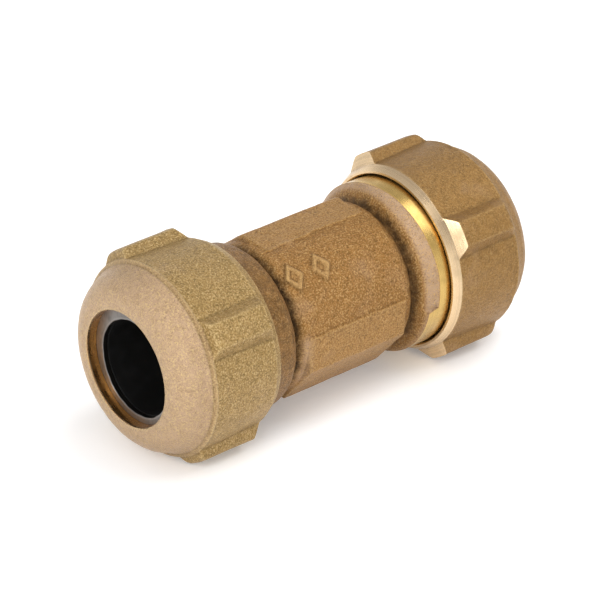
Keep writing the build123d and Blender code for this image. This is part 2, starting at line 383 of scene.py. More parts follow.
def nut_points(phase, sizes, bevel_finish, dome_skin):
    """Whole surface of the right nut as one closed grid: mouth edge, flat, domed nose, ridge, barrel with
    lugs, bevel, back face, skirt, thread, washer room, lip and mouth bore. Also returns the finish of each
    row, how much of the sand-cast unevenness it has, and where it still has its cast skin or, in the mouth,
    its tarnish."""
    ridge_r = sizes.ridge_radius / MM
    angle, depth, height = nut_shell(phase, sizes)
    front = np.concatenate([
        [(MOUTH_CHAMFER, MOUTH_R), (0.14, MOUTH_R + 0.06), (0.04, MOUTH_R + 0.2)],
        straight((0.0, MOUTH_R + 0.4), DOME[0], 5),
        bow(*DOME, 26),
        bow(*DOME_FOOT, 12),
        straight(DOME_FOOT[-1], (RIDGE_DEPTH, ridge_r), 4),
    ])
    back = MOUTH_X - BACK_X
    skirt = MOUTH_X - SKIRT_END_X
    thread_rows = 60
    thread = np.linspace(skirt - 0.5, CAVITY_DEPTH + 1.0, thread_rows)
    entrance = runs(
        (back, BACK_R - 0.08, 4), (back, SKIRT_R + SKIRT_CHAMFER, 2), (back - SKIRT_CHAMFER, SKIRT_R, 6),
        (skirt + 0.4, SKIRT_R, 2), (skirt - 0.5, NUT_ROOT_R),
    )
    inside = np.concatenate([
        entrance,
        np.stack([thread, np.full(thread_rows, NUT_ROOT_R)], axis=1),
        runs(
            (CAVITY_DEPTH + 0.9, NUT_ROOT_R - 0.1, 2), (CAVITY_DEPTH, CAVITY_R, 4), (LIP, CAVITY_R, 4),
            (LIP, MOUTH_R, 5), (MOUTH_CHAMFER, MOUTH_R),
        ),
    ])
    around = np.ones((1, len(angle)))
    x = MOUTH_X - np.concatenate([front[:, :1] * around, depth, inside[:, :1] * around])
    radius = np.concatenate([front[:, 1:] * around, height, inside[:, 1:] * around])
    first = len(front) + len(depth) + len(entrance)
    rows = slice(first, first + thread_rows)
    ridges = thread_height(x[rows], angle[None, :], THREAD_START + PITCH / 2, MOUTH_X - CAVITY_DEPTH - 1.6)
    radius[rows] -= (NUT_ROOT_R - NUT_CREST_R) * ridges
    c, s = unit(angle)
    points = np.stack([x, radius * c, radius * s], axis=2)
    cast_end = len(front) + SHELL_ROWS
    finish = np.full(len(points), TURNED)
    finish[1:cast_end] = CAST
    finish[cast_end:len(front) + len(depth)] = bevel_finish
    where = np.zeros(len(points))
    where[3:cast_end] = 1
    where[3:8] = np.linspace(0.1, 1, 5)
    where[cast_end - 3:cast_end] = (1, 0.7, 0.3)
    skin = np.zeros(len(points))
    dome = len(front) - 4
    skin[1:dome] = dome_skin
    skin[dome:len(front) + 2] = 0.45 * dome_skin
    skin[-6:] = 1  # the lip's last row and the mouth bore
    return points, finish, where, skin


# ---------------------------------------------------------------- body

def pad_section(angle):
    """Radius of the two spanner pads at an angle about the casting: the flats between each pad's corners,
    where a flat at distance d facing angle f has the radius d over the cosine of the angle from f, rounded
    where flats meet."""
    radius = np.full(angle.shape, 99.0)
    inside = np.zeros(angle.shape)
    for side in (1, -1):
        turn = ((angle - PANEL_AT) * side) % 360
        pad = np.full(angle.shape, 99.0)
        for (a0, r0), (a1, r1) in zip(PAD_CORNERS, PAD_CORNERS[1:]):
            p0, p1 = np.array(unit(a0)) * r0, np.array(unit(a1)) * r1
            facing = math.degrees(math.atan2(p1[1] - p0[1], p1[0] - p0[0])) - 90
            distance = p0[0] * math.cos(math.radians(facing)) + p0[1] * math.sin(math.radians(facing))
            lean = np.cos(np.radians(turn - facing))
            flat = np.where(lean > 0.3, distance / np.maximum(lean, 0.3), 99.0)
            pad = soft_min(pad, flat, 0.22)
        edge = smooth_step(turn, PAD_CORNERS[0][0] - 0.7, PAD_CORNERS[0][0] + 0.9)
        edge = edge * (1 - smooth_step(turn, PAD_CORNERS[-1][0] - 0.9, PAD_CORNERS[-1][0] + 0.7))
        radius = np.where(edge > inside, pad, radius)
        inside = np.maximum(inside, edge)
    return radius, inside


def mark_relief(x, angle, base):
    """Two plain raised lozenges on the panel: a point is in one where its distance along X over the half
    length plus its distance across over the half height is below 1. There the surface rises to a flat, but
    by no more than a set height."""
    away = np.clip(angle - MARK_AT, -40, 40)
    across = MARK_R * np.sin(np.radians(away))
    top = MARK_R / np.cos(np.radians(away))
    inside = np.zeros(np.broadcast(x, angle).shape)
    for middle in MARK_X:
        reach = 1 - np.abs(x - middle) / (MARK_LENGTH / 2) - np.abs(across) / (MARK_HEIGHT / 2)
        stroke = smooth_step(reach, 0.0, 0.18) - 0.75 * smooth_step(reach, 0.50, 0.66)
        inside = np.maximum(inside, stroke)
    return np.clip(top - base, 0, MARK_RISE) * inside


def cast_outline(x, angle, land_edge):
    """Radius of the casting without pads: plain barrel, ragged groove, shoulder and collar at each end. The
    runs between the knots are averaged over half a millimetre. Past its shoulder the right collar rises
    along a root curve and passes the turned land's radius exactly where that land begins."""
    steps = np.linspace(-0.25, 0.25, 7)
    radius = sum(np.interp(np.abs(x) + step, *np.array(CAST_PROFILE).T) for step in steps) / len(steps)
    target = LAND_R - CAST_OFFSET * np.cos(np.radians(angle - CAST_OFFSET_AT))
    share = np.clip((x - SHOULDER_X) / (land_edge - SHOULDER_X), 0, None)
    collar = SHOULDER_R + (target - SHOULDER_R) * np.minimum(share, 1) ** 0.72
    past = target + 0.35 * np.clip(share - 1, 0.002, 1)
    return np.where(x > SHOULDER_X, np.where(share > 1, past, collar), radius)


def body_rows(angle):
    """X of every row at every angle, the radius and kind of each row, and where the right land begins, from the
    right end over the outside to the left end and back through the bore. Near the right land the rows lean, so
    that one of them follows the line where that land begins."""
    end = np.concatenate([
        [(END_X, MOUTH_CONE_R), (END_X, 17.9), (END_X, 18.3)],
        straight((END_X, 18.32), (END_X - 0.6, BODY_ROOT_R), 2),
        straight((END_X - 0.6, BODY_ROOT_R), (32.3, BODY_ROOT_R), BODY_THREAD_ROWS),
        [(32.3, BODY_ROOT_R - 0.02), (32.28, RELIEF_R), (31.6, RELIEF_R), (30.95, RELIEF_R)],
        [(LAND_END, RELIEF_R + 0.06), (LAND_END, 19.4)],
        [(LAND_END, LAND_R - 0.25), (LAND_END - 0.25, LAND_R)],
    ])
    end_kind = np.full(len(end), LATHE)
    end_kind[5:5 + BODY_THREAD_ROWS] = THREAD
    edge = np.interp(angle % 360, *np.array(LAND_EDGE).T)
    around = np.ones((1, len(angle)))
    low = np.linspace(0, 1, 10, endpoint=False)[:, None]
    high = np.linspace(0, 1, 18, endpoint=False)[:, None]
    stretches = (
        (18.7, 15.6, 15), (15.6, 13.2, 16), (13.2, -13.2, 70), (-13.2, -15.6, 16), (-15.6, -18.7, 16),
        (-18.7, -24.5, 18), (-24.5, -25.3, 7),
    )
    middle = [np.linspace(*ends, rows, endpoint=False)[:, None] * around for *ends, rows in stretches]
    outer = np.concatenate([
        np.linspace(LAND_END - 0.7, 25.9, 6)[:, None] * around,
        25.2 * (1 - low) + edge * low,
        edge * (1 - high) + 18.7 * high,
        *middle,
        np.linspace(-25.3, -(LAND_END - 0.7), 7)[:, None] * around,
    ])
    cone_end = END_X - CONE_DEPTH
    bore = runs(
        (-END_X, MOUTH_CONE_R, 4), (-cone_end, BORE_R, 10), (cone_end, BORE_R, 4), (END_X, MOUTH_CONE_R),
    )
    x = np.concatenate([end[:, :1] * around, outer, -end[::-1, :1] * around, bore[:, :1] * around])
    radius = np.concatenate([end[:, 1], np.full(len(outer), LAND_R), end[::-1, 1], bore[:, 1]])
    kind = np.concatenate([end_kind, np.full(len(outer), CASTING), end_kind[::-1], np.full(len(bore), LATHE)])
    return x, radius, kind, edge


def body_points(sizes):
    """Whole surface of the body as one closed grid. Cast rows stand on an axis a little off the turned one,
    and from the edge of each turned land outwards they are cut back to it. Threads are added to the turned
    ends. Also returns the finish of each cell, and masks for painted shade in the grooves beside the barrel
    with a darker left collar, for the pinkish skin, and for painted light on the pads with worn-bright marks."""
    creases = [PANEL_AT + side * corner for side in (1, -1) for corner, _ in PAD_CORNERS]
    angle = angles(BODY_COLUMNS, creases + [MARK_AT - 8, MARK_AT + 8, 189.2], 4.5, 1.1)
    x, plain, kind, land_edge = body_rows(angle)
    spin = angle[None, :] + 0 * x
    c, s = unit(angle)
    place = np.stack([x, 18 * c + 0 * x, 18 * s + 0 * x], axis=2)
    ragged = lattice_noise(place, 2.6, 21) + 0.6 * lattice_noise(place, 1.1, 22)
    barrel = cast_outline(x + 0.16 * ragged * (np.abs(x) < 18.4), spin, land_edge[None, :])
    barrel += sizes.barrel_radius / MM - BARREL_R
    upper = (spin < PANEL_AT) | (spin > 320)
    pad, inside = pad_section(spin + ragged * np.where(upper, 0.9, 0.35))
    ends = 1 - smooth_step(np.abs(x) + 0.22 * ragged, PAD_HALF_LENGTH - 0.35, PAD_HALF_LENGTH + 0.75)
    casting = barrel + np.maximum(pad - barrel, 0) * inside * ends
    for middle, long, at, wide, depth in DENTS:
        casting -= depth * np.exp(-((x - middle) / long) ** 2 - ((spin - at) / wide) ** 2)
    marks = mark_relief(x, spin, casting)
    casting += marks
    crack = smooth_step(spin, 112, 116) * (1 - smooth_step(spin, 122, 127))
    casting -= CRACK_DEPTH * crack * np.exp(-((x - CRACK_X) / 0.25) ** 2)
    cy, cz = np.array(unit(CAST_OFFSET_AT)) * CAST_OFFSET
    points = np.stack([x, cy + casting * c, cz + casting * s], axis=2)
    cast_rows = kind == CASTING
    near_land = np.clip(np.abs(x - land_edge[None, :]) / 0.5, 0, 1)
    points = roughen(points, cast_rows[:, None] * near_land, sizes.body_unevenness / MM, 11)
    in_cut = cast_rows[:, None] & ((x > land_edge[None, :] - 0.01) | (x < -LAND_START_LEFT))
    reach = np.hypot(points[..., 1], points[..., 2])
    points[..., 1:] *= np.where(in_cut, LAND_R / np.maximum(reach, 1e-6), 1.0)[..., None]
    ridges = thread_height(np.abs(x), np.where(x > 0, spin, 180 - spin), THREAD_START, END_X - RIDGE_ROOT)
    turned = plain[:, None] + np.where(kind[:, None] == THREAD, (BODY_CREST_R - BODY_ROOT_R) * ridges, 0)
    lathe = np.stack([x, turned * c, turned * s], axis=2)
    points = np.where(cast_rows[:, None, None], points, lathe)
    both_cut = in_cut & np.roll(in_cut, -1, 0)
    finish = np.where(cast_rows[:, None] & ~both_cut, CAST, TURNED)
    away = np.abs(x)
    # Painted shade: a ragged dark groove beside each end of the barrel; the left collar out to the land is
    # darkened as well.
    crease = np.where(x > 0, 17.6, 17.3) + 0.22 * ragged
    grime = np.exp(-((away - crease) / np.where(x > 0, 0.75, 1.1)) ** 2) * np.where(x > 0, 0.85, 1.0)
    grime = np.maximum(grime, 0.42 * smooth_step(-x, 18.0, 20.0) * (x < 0))
    below = smooth_step(spin, 168, 178) * (1 - smooth_step(spin, 205, 222))
    skin = np.maximum(smooth_step(x, 18.8, 20.2), 0.7 * below * np.exp(-((x + 15.0) / 1.3) ** 2))
    bare = cast_rows[:, None] & ~in_cut
    # Painted light: both spanner pads are lightened as lit faces; the raised lozenges are worn bright.
    rubbed = np.maximum(0.35 * inside * ends, np.clip(marks / 0.4, 0, 1))
    return points, finish, {"grime": grime * bare, "skin": skin * bare, "rubbed": rubbed * bare}


# ---------------------------------------------------------------- seals

def washer_points(sizes):
    """Flat washer with a burr round its punched hole: the outline is a rounded rectangle, and the hole's
    edge wavers by a few hundredths with three sines of whole-number turns."""
    inner, outer = sizes.washer_hole / MM, sizes.washer_radius / MM
    x0, x1 = WASHER_LOW.x / MM, WASHER_HIGH.x / MM
    round_r, lip = 0.12, 0.10
    profile = np.concatenate([
        straight((x1, inner + lip), (x1, outer - round_r), 22),
        runs(
            (x1 - 0.02, outer - 0.05, 3), (x1 - round_r, outer, 4), (x0 + round_r, outer, 3),
            (x0, outer - round_r, 10), (x0, inner + 0.15, 3), (x0 + 0.15, inner, 6), (x1 - lip, inner, 5),
            (x1, inner + lip),
        ),
    ])
    angle = angles(RING_COLUMNS, [0], 20, 0.0)
    points = swept(profile, angle)
    near = np.exp(-((profile[:, 1] - inner) / 0.35) ** 2)[:, None]
    waver = 0.05 * np.sin(np.radians(5 * angle + 20)) + 0.035 * np.sin(np.radians(11 * angle + 75))
    waver = waver + 0.03 * np.sin(np.radians(23 * angle)) + 0.06
    shift = near * waver[None, :]
    c, s = unit(angle)
    points[..., 1] += shift * c
    points[..., 2] += shift * s
    points[..., 2] -= SEAL_DROP
    # The hole's wall is darkened nearly to black.
    grime = np.where((profile[:, 1] < inner + 0.12) & (profile[:, 0] < x1 - 0.12), 1.0, 0.0)
    return points, {"grime": grime[:, None]}


def gasket_points(sizes):
    """Moulded rubber gasket: straight head, tapered tail and a straight bore, every corner rounded by short
    arcs."""
    bore = sizes.gasket_bore / MM
    head = (GASKET_HIGH.z - GASKET_LOW.z) / 2 / MM
    x0, x1 = GASKET_LOW.x / MM, GASKET_HIGH.x / MM
    profile = np.concatenate([
        bow((x1 - 0.15, bore), (x1 - 0.04, bore + 0.04), (x1, bore + 0.15), 6),
        straight((x1, bore + 0.15), (x1, head - 0.6), 12),
        bow((x1, head - 0.6), (x1 - 0.18, head - 0.18), (x1 - 0.6, head), 6),
        runs((x1 - 0.6, head, 6), (x1 - 2.85, head, 24), (x0 + 0.2, 12.6)),
        bow((x0 + 0.2, 12.6), (x0 + 0.02, 12.4), (x0, 12.2), 4),
        runs((x0, 12.2, 3), (x0, bore + 0.2, 2), (x0 + 0.2, bore, 30), (x1 - 0.15, bore)),
    ])
    points = swept(profile, angles(256, [0], 20, 0.0))
    points[..., 2] -= SEAL_DROP
    return points


# ---------------------------------------------------------------- materials

def add_node(tree, kind, inputs=None, **settings):
    """New node with its settings, and its inputs either set or linked."""
    node = tree.nodes.new(kind)
    for key, value in settings.items():
        setattr(node, key, value)
    for key, value in (inputs or {}).items():
        if isinstance(value, bpy.types.NodeSocket):
            tree.links.new(value, node.inputs[key])
        else:
            node.inputs[key].default_value = value
    return node


def noise(tree, vector, scale, detail=2.0, roughness=0.5):
    inputs = {"Vector": vector, "Scale": scale, "Detail": detail, "Roughness": roughness}
    return add_node(tree, "ShaderNodeTexNoise", inputs).outputs["Fac"]


def spread(tree, value, low, high, to_low=0.0, to_high=1.0):
    """Stretches a value between two limits and holds it there."""
    made = add_node(
        tree, "ShaderNodeMapRange",
        {"Value": value, "From Min": low, "From Max": high, "To Min": to_low, "To Max": to_high},
        interpolation_type="SMOOTHSTEP",
    )
    return made.outputs["Result"]


def times(tree, a, b):
    return maths(tree, "MULTIPLY", a, b)


def maths(tree, operation, a, b=0.0, clamp=False):
    made = add_node(tree, "ShaderNodeMath", {0: a, 1: b}, operation=operation, use_clamp=clamp)
    return made.outputs["Value"]


def tint(tree, factor, a, b, blend="MIX"):
    """Colour a turning to colour b with a factor from the pattern."""
    made = add_node(tree, "ShaderNodeMix", data_type="RGBA", blend_type=blend, clamp_factor=True)
    for socket, value in ((made.inputs[0], factor), (made.inputs[6], a), (made.inputs[7], b)):
        if isinstance(value, bpy.types.NodeSocket):
            tree.links.new(value, socket)
        elif socket.type == "RGBA":
            socket.default_value = (*value, 1.0)
        else:
            socket.default_value = value
    return made.outputs[2]


def bump(tree, height, strength, distance, under=None):
    inputs = {"Height": height, "Strength": strength, "Distance": distance}
    if under is not None:
        inputs["Normal"] = under
    return add_node(tree, "ShaderNodeBump", inputs).outputs["Normal"]


def new_material(name):
    """Material with an empty node tree but for one Principled shader, and its Object coordinates."""
    material = bpy.data.materials.new(name)
    material.use_nodes = True
    tree = material.node_tree
    tree.nodes.clear()
    output = add_node(tree, "ShaderNodeOutputMaterial")
    shader = add_node(tree, "ShaderNodeBsdfPrincipled")
    tree.links.new(shader.outputs["BSDF"], output.inputs["Surface"])
    place = add_node(tree, "ShaderNodeTexCoord").outputs["Object"]
    return material, tree, shader, place


def attribute(tree, name):
    made = add_node(tree, "ShaderNodeAttribute", attribute_name=name, attribute_type="GEOMETRY")
    return made.outputs["Fac"]


def shade(colour, factor):
    """The colour made lighter or darker."""
    return tuple(min(1.0, c * factor) for c in colour)


def cast_bronze(name, colour, skin, tips, grain, roughness):
    """Tumbled sand casting: sandy grain with bright tips and dark pits, faint colour patches, pinkish cast
    skin where it was never worn, painted light on the pads, worn-bright marks, painted shade in the grooves
    beside the barrel and where the surface bends in, a darker left collar, and burnished edges."""
    material, tree, shader, place = new_material(name)
    broad = noise(tree, place, 90.0, 3.0, 0.55)
    patch = noise(tree, place, 620.0, 4.0, 0.6)
    sand = noise(tree, place, 2600.0, 3.0, 0.62)
    dust = noise(tree, place, 5200.0, 2.0, 0.6)
    cells = add_node(tree, "ShaderNodeTexVoronoi", {"Vector": place, "Scale": 1350.0, "Randomness": 1.0})
    pits = cells.outputs["Distance"]
    edge, hollow = attribute(tree, "edge"), attribute(tree, "hollow")
    grime, skinned = attribute(tree, "grime"), attribute(tree, "skin")

    base = tint(tree, spread(tree, patch, 0.34, 0.66), shade(colour, 0.88), shade(colour, 1.10))
    base = tint(tree, spread(tree, broad, 0.52, 0.74, 0.0, 0.30), base, skin)
    base = tint(tree, times(tree, skinned, spread(tree, patch, 0.30, 0.62, 0.70, 1.0)), base, skin)
    # Painted light on the pads, and the raised lozenges worn bright.
    base = tint(tree, times(tree, attribute(tree, "rubbed"), 0.6), base, tips)
    base = tint(tree, spread(tree, sand, 0.48, 0.68, 0.0, 0.95 * grain), base, tips)
    bare = maths(tree, "SUBTRACT", 1.0, times(tree, skinned, 0.7))
    sunk = times(tree, spread(tree, sand, 0.48, 0.28, 0.0, 0.85 * grain), bare)
    base = tint(tree, sunk, base, shade(colour, 0.36))
    pitted = times(tree, spread(tree, pits, 0.22, 0.05, 0.0, 0.6 * grain), bare)
    base = tint(tree, pitted, base, shade(colour, 0.34))
    worn = times(tree, edge, spread(tree, sand, 0.34, 0.66, 0.10, 0.70))
    base = tint(tree, worn, base, shade(tips, 0.95))
    # Painted shade: the grooves beside the barrel darkened nearly to black; the left collar is darkened with
    # them.
    shade_and_dirt = times(tree, grime, spread(tree, patch, 0.66, 0.36, 0.60, 1.0))
    base = tint(tree, shade_and_dirt, base, shade(colour, 0.09))
    # Painted shade where the surface bends in.
    base = tint(tree, times(tree, hollow, 0.34), base, shade(colour, 0.30))
    tree.links.new(base, shader.inputs["Base Color"])

    rough = spread(tree, dust, 0.3, 0.7, roughness - 0.10, roughness + 0.10)
    rough = maths(tree, "SUBTRACT", rough, times(tree, worn, 0.14))
    rough = maths(tree, "SUBTRACT", rough, times(tree, skinned, 0.08), clamp=True)
    tree.links.new(rough, shader.inputs["Roughness"])
    shader.inputs["Metallic"].default_value = 0.80
    shader.inputs["Specular IOR Level"].default_value = 0.5

    height = maths(tree, "ADD", sand, times(tree, dust, 0.30))
    height = maths(tree, "ADD", height, spread(tree, pits, 0.02, 0.30, 0.0, 0.45))
    relief = bump(tree, patch, 0.6, 0.00030)
    relief = bump(tree, height, 1.0, 0.00012 + 0.00014 * grain, relief)
    tree.links.new(relief, shader.inputs["Normal"])
    return material


def turned_bronze(name, colour, tarnish, roughness):
    """Lathe-turned bronze: fine rings that follow the distance along and out from the axis, faint stains,
    brighter edges, and orange tarnish where a nut's mouth was never wiped."""
    material, tree, shader, place = new_material(name)
    flat = add_node(tree, "ShaderNodeVectorMath", {0: place, 1: (0.0, 1.0, 1.0)}, operation="MULTIPLY")
    reach = add_node(tree, "ShaderNodeVectorMath", {0: flat.outputs["Vector"]}, operation="LENGTH")
    along = add_node(tree, "ShaderNodeSeparateXYZ", {"Vector": place}).outputs["X"]
    away = reach.outputs["Value"]
    ringed = add_node(tree, "ShaderNodeCombineXYZ", {"X": along, "Y": away}).outputs["Vector"]
    rings = noise(tree, ringed, 3600.0, 2.0, 0.6)
    fine_rings = noise(tree, ringed, 12000.0, 1.0, 0.5)
    stain = noise(tree, place, 260.0, 4.0, 0.6)
    chatter = noise(tree, place, 1900.0, 2.0, 0.5)
    edge, hollow = attribute(tree, "edge"), attribute(tree, "hollow")

    base = tint(tree, spread(tree, rings, 0.30, 0.70), shade(colour, 0.86), shade(colour, 1.08))
    base = tint(tree, spread(tree, stain, 0.50, 0.72, 0.0, 0.45), base, shade(colour, 0.66))
    base = tint(tree, times(tree, edge, 0.5), base, shade(colour, 1.25))
    # Painted shade where the surface bends in.
    base = tint(tree, times(tree, hollow, 0.6), base, shade(colour, 0.38))
    base = tint(tree, attribute(tree, "skin"), base, tarnish)
    tree.links.new(base, shader.inputs["Base Color"])

    rough = spread(tree, stain, 0.3, 0.7, roughness - 0.05, roughness + 0.09)
    rough = maths(tree, "ADD", rough, spread(tree, fine_rings, 0.3, 0.7, -0.03, 0.03), clamp=True)
    tree.links.new(rough, shader.inputs["Roughness"])
    shader.inputs["Metallic"].default_value = 0.95

    height = maths(tree, "ADD", times(tree, rings, 0.7), times(tree, fine_rings, 0.3))
    relief = bump(tree, chatter, 0.25, 0.00003)
    relief = bump(tree, height, 0.7, 0.000018, relief)
    tree.links.new(relief, shader.inputs["Normal"])
    return material


def washer_steel(name, colour, roughness):
    """Dull plated sheet steel: rolled grain along one way, short scratches, cloudy plating and a bright
    hole edge."""
    material, tree, shader, place = new_material(name)
    rolled = add_node(tree, "ShaderNodeMapping", {"Vector": place, "Scale": (1.0, 1.0, 0.08)})
    grain = noise(tree, rolled.outputs["Vector"], 5200.0, 2.0, 0.6)
    cloud = noise(tree, place, 330.0, 4.0, 0.6)
    turned = add_node(
        tree, "ShaderNodeMapping", {"Vector": place, "Rotation": (0.7, 0.0, 0.0), "Scale": (1.0, 1.0, 0.05)}
    ).outputs["Vector"]
    scratch = spread(tree, noise(tree, turned, 2600.0, 1.0, 0.4), 0.66, 0.74)
    edge, hollow = attribute(tree, "edge"), attribute(tree, "hollow")
    base = tint(tree, spread(tree, cloud, 0.32, 0.68), shade(colour, 0.72), shade(colour, 1.12))
    base = tint(tree, spread(tree, grain, 0.35, 0.70, 0.0, 0.4), base, shade(colour, 1.3))
    base = tint(tree, times(tree, scratch, 0.5), base, shade(colour, 1.5))
    base = tint(tree, times(tree, edge, 0.6), base, shade(colour, 1.6))
    # Painted shade where the surface bends in.
    base = tint(tree, times(tree, hollow, 0.6), base, shade(colour, 0.4))
    # The hole's wall darkened nearly to black.
    base = tint(tree, times(tree, attribute(tree, "grime"), 0.93), base, shade(colour, 0.06))
    tree.links.new(base, shader.inputs["Base Color"])
    rough = spread(tree, cloud, 0.3, 0.7, roughness + 0.08, roughness - 0.08)
    tree.links.new(rough, shader.inputs["Roughness"])
    shader.inputs["Metallic"].default_value = 0.85
    height = maths(tree, "SUBTRACT", times(tree, grain, 0.5), scratch)
    tree.links.new(bump(tree, height, 0.5, 0.00002), shader.inputs["Normal"])
    return material


def gasket_rubber(name, colour, roughness):
    """Moulded black rubber: fine matt skin, faint grey bloom in clouds and slightly lighter edges."""
    material, tree, shader, place = new_material(name)
    skin = noise(tree, place, 6400.0, 2.0, 0.6)
    bloom = noise(tree, place, 300.0, 5.0, 0.65)
    base = tint(tree, spread(tree, bloom, 0.45, 0.8), colour, shade(colour, 1.9))
    base = tint(tree, times(tree, attribute(tree, "edge"), 0.2), base, shade(colour, 1.2))
    tree.links.new(base, shader.inputs["Base Color"])
    rough = spread(tree, bloom, 0.3, 0.7, roughness - 0.08, roughness + 0.08)
    tree.links.new(rough, shader.inputs["Roughness"])
    shader.inputs["Specular IOR Level"].default_value = 0.18
    tree.links.new(bump(tree, skin, 0.5, 0.00003), shader.inputs["Normal"])
    return material


def floor_paper(name, colour, glow):
    """Pale card for the floor: even white with the faintest tooth, and a little light of its own as from a
    table lit from under."""
    material, tree, shader, place = new_material(name)
    tooth = noise(tree, place, 900.0, 2.0, 0.5)
    base = tint(tree, spread(tree, tooth, 0.3, 0.7), shade(colour, 0.985), colour)
    tree.links.new(base, shader.inputs["Base Color"])
    shader.inputs["Roughness"].default_value = 0.85
    shader.inputs["Specular IOR Level"].default_value = 0.15
    shader.inputs["Emission Color"].default_value = (*colour, 1.0)
    shader.inputs["Emission Strength"].default_value = glow
    return material


# ---------------------------------------------------------------- settings

def length(name, description, default):
    default = default * MM
    return FloatProperty(name=name, description=description, default=default, unit="LENGTH", precision=5)


def colour(name, description, default):
    return FloatVectorProperty(
        name=name, description=description, default=default, subtype="COLOR", min=0, max=1
    )


def share(name, description, default):
    return FloatProperty(name=name, description=description, default=default, min=0, max=1, subtype="FACTOR")


def heading(name, description, default):
    default = math.radians(default)
    return FloatProperty(name=name, description=description, default=default, subtype="ANGLE")


def power(name, description, default):
    return FloatProperty(name=name, description=description, default=default, unit="POWER")


class CouplingSizes(bpy.types.PropertyGroup):
    ridge_radius: length("Ridge radius", "Ridge between a nut's nose and barrel", NUT_HIGH.z / MM - 0.01)
    lug_radius: length("Lug radius", "Crest of the four spanner lugs", LUG_R)
    flattening: length("Barrel flattening", "How far a nut's barrel sinks towards the next lug", 0.12)
    lug_phase: heading("Lug phase", "Angle of the first lug of each nut from +Y towards +Z", 56.6)
    barrel_radius: length("Barrel radius", "Cast barrel of the body between its pads", BARREL_R)
    unevenness: length("Nut unevenness", "Depth of the sand-cast unevenness of the nuts", 0.15)
    body_unevenness: length("Body unevenness", "Depth of the sand-cast unevenness of the body", 0.26)
    washer_hole: length("Washer hole", "Radius of the hole of a washer", 11.38)
    washer_radius: length("Washer radius", "Outer radius of a washer", 17.2)
    gasket_bore: length("Gasket bore", "Radius of the bore of a gasket", 11.37)


class CouplingFinishes(bpy.types.PropertyGroup):
    left_nut: colour("Left nut", "Cast bronze of the left nut", (0.321, 0.204, 0.071))
    right_nut: colour("Right nut", "Cast bronze of the right nut", (0.275, 0.149, 0.044))
    body: colour("Body", "Cast bronze of the body", (0.296, 0.146, 0.040))
    skin: colour("Cast skin", "Pinkish skin that was never rubbed", (0.455, 0.308, 0.195))
    left_tips: colour("Left nut grain tips", "Bright tips on the left nut's grain", (0.576, 0.418, 0.201))
    right_tips: colour("Right nut grain tips", "Bright tips on the right nut's grain", (0.433, 0.277, 0.110))
    body_tips: colour("Body grain tips", "Bright tips on the body's grain", (0.527, 0.329, 0.131))
    turned_nut: colour("Turned nut bronze", "Bare bronze of the nuts' turned faces", (0.68, 0.50, 0.30))
    turned_body: colour("Turned body bronze", "Bare bronze of the body's turned faces", (0.558, 0.370, 0.119))
    left_grain: share("Left nut grain", "How strongly the sand grain shows on the left nut", 1.0)
    right_grain: share("Right nut grain", "How strongly the sand grain shows on the right nut", 0.65)
    body_grain: share("Body grain", "How strongly the sand grain shows on the body", 1.0)
    tarnish: colour("Tarnish", "Orange tarnish in the mouths of the nuts", (0.62, 0.30, 0.085))
    steel: colour("Washer steel", "Dull plated steel of the washers", (0.165, 0.155, 0.145))
    rubber: colour("Gasket rubber", "Black rubber of the gaskets", (0.004, 0.004, 0.004))
    cast_roughness: share("Cast roughness", "Roughness of the cast surfaces", 0.44)
    turned_roughness: share("Turned roughness", "Roughness of the turned surfaces", 0.24)


class CouplingStage(bpy.types.PropertyGroup):
    azimuth: heading("Camera azimuth", "Camera's angle round +Z, 0 looks along +Y", -40.650)
    elevation: heading("Camera elevation", "Camera's angle above the horizon", 28.959)
    distance: FloatProperty(
        name="Camera distance", description="From the camera to its target", default=0.80306, unit="LENGTH",
    )
    target: FloatVectorProperty(
        name="Camera target", description="Point that the camera looks at",
        default=(-0.005897, -0.004802, 0.002737), subtype="XYZ", unit="LENGTH", precision=5,
    )
    lens: FloatProperty(name="Lens", description="Focal length in millimetres", default=214.262)
    floor: colour("Floor", "Pale floor", (0.93, 0.93, 0.93))
    floor_glow: share("Floor glow", "Light that the floor gives itself", 0.17)
    sky: colour("Sky at the horizon", "Soft surrounding light low down", (0.95, 0.95, 0.95))
    sky_top: colour("Sky overhead", "Soft surrounding light high up", (0.50, 0.50, 0.51))
    key: power("Key light", "Power of the near softbox on the left", 1.12)
    top: power("Top light", "Power of the broad light overhead", 3.3)
    left: power("Left strip", "Power of the low light on the left", 0.55)
    fill: power("Fill light", "Power of the low light in front", 0.05)


# ---------------------------------------------------------------- operators

def settle(piece, node, body):
    """Hides the CAD node of a finished piece and puts the piece on its body."""
    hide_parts(node)
    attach(piece, body)


def chosen(context):
    """The sizes and the finishes that are set in the sidebar."""
    return context.scene.coupling_sizes, context.scene.coupling_finishes


class COUPLING_OT_nuts(bpy.types.Operator):
    """Makes both compression nuts, each with four spanner lugs and an internal thread"""

    bl_idname = "coupling.nuts"
    bl_label = "Compression Nuts"

    def execute(self, context):
        sizes, finishes = chosen(context)
        phase = math.degrees(sizes.lug_phase)
        lathe = (finishes.tarnish, finishes.turned_roughness)
        turned = turned_bronze("turned_nut_bronze", finishes.turned_nut, *lathe)
        for side, seed in (("right", 3), ("left", 7)):
            tone, tips, grain = (getattr(finishes, f"{side}_{part}") for part in ("nut", "tips", "grain"))
            colours = (tone, finishes.skin, tips)
            cast = cast_bronze(f"{side}_nut_bronze", *colours, grain, finishes.cast_roughness)
            # The left nut's bevel is as dull as its barrel, and only its dome still has its cast skin.
            shape = (phase, sizes, TURNED, 0.1) if side == "right" else (180 - phase, sizes, CAST, 1.0)
            points, finish, where, skin = nut_points(*shape)
            points = roughen(points, where[:, None], sizes.unevenness / MM, seed)
            marks = {"skin": skin[:, None]}
            piece = closed_grid(f"{side}_nut", to_side(points, side), finish[:, None], [cast, turned], marks)
            settle(piece, f"{side}_compression_nut", f"{side}_nut")
        return {"FINISHED"}


